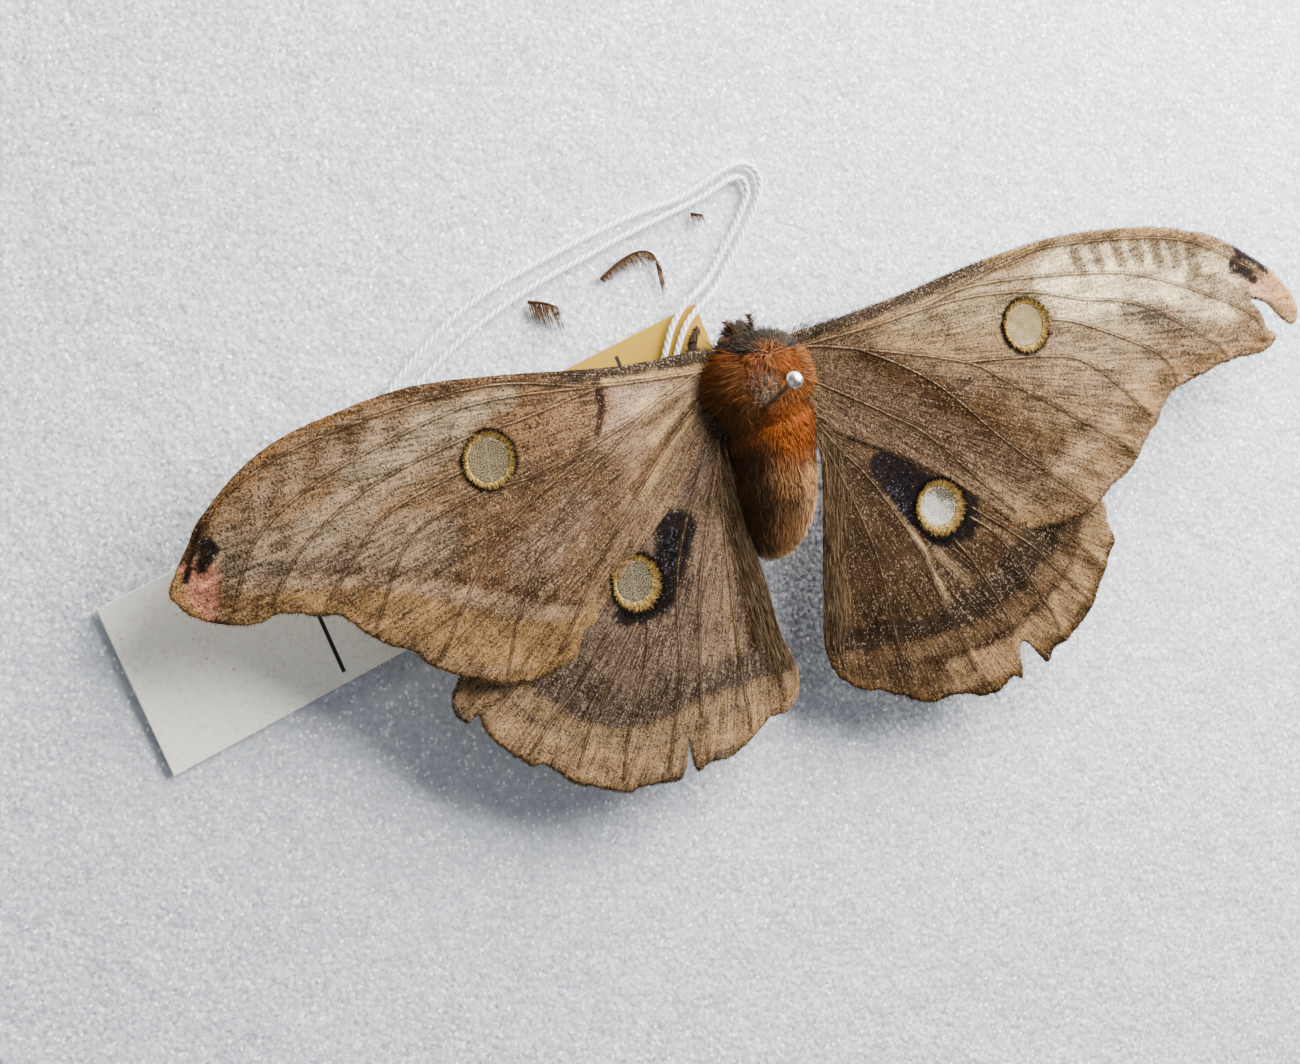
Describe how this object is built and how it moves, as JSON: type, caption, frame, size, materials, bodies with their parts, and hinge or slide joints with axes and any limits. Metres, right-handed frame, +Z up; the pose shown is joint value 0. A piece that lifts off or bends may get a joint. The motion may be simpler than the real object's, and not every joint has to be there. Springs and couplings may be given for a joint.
{
  "type": "polyphemus moth specimen",
  "caption": "Spread and pinned polyphemus moth with eyespots on all wings, set on a white foam block with a string tag.",
  "frame": {"origin": "middle of the foam block's underside", "axes": "+Z up out of the block, +X along its longest side to the right forewing, +Y to the moth's head end"},
  "size_m": [0.162, 0.13, 0.0307],
  "materials": {
    "foam": "white beaded foam, matt with a fine sparkle",
    "pin": "bright steel pin",
    "tag_card": "aged card, cream at one end and yellow at the other",
    "string": "white cotton string",
    "thorax_fur": "dense rust-orange fur with a dark grey collar",
    "abdomen_fur": "short brown fur, tan at the tip",
    "head_fur": "dark grey-brown fur",
    "eye": "dark, glossy compound eye",
    "feeler": "reddish-brown feeler with combs",
    "leg_fur": "brown hairy leg",
    "eyespot": "clear greyish window in a yellow and black ring",
    "forewing": "matt powdery scales, peppered brown, grey and pink",
    "hindwing": "matt powdery scales, dark brown with an ochre margin"
  },
  "bodies": {
    "root": {"abdomen": "abdomen_fur", "antenna_left": "feeler", "antenna_right": "feeler", "antenna_scrap_a": "feeler", "antenna_scrap_b": "feeler", "antenna_scrap_c": "feeler", "eye_left": "eye", "eye_right": "eye", "forewing_left": "forewing", "forewing_left_eyespot": "eyespot", "forewing_right": "forewing", "forewing_right_eyespot": "eyespot", "head": "head_fur", "hindwing_left": "hindwing", "hindwing_left_eyespot": "eyespot", "hindwing_right": "hindwing", "hindwing_right_eyespot": "eyespot", "leg_front_left": "leg_fur", "leg_front_right": "leg_fur", "leg_hind_left": "leg_fur", "leg_hind_right": "leg_fur", "leg_middle_left": "leg_fur", "leg_middle_right": "leg_fur", "stand_foam": "foam", "stand_pin": "pin", "tag": "tag_card", "tag_string_inner": "string", "tag_string_knot": "string", "tag_string_outer": "string", "thorax": "thorax_fur"}
  },
  "joints": []
}
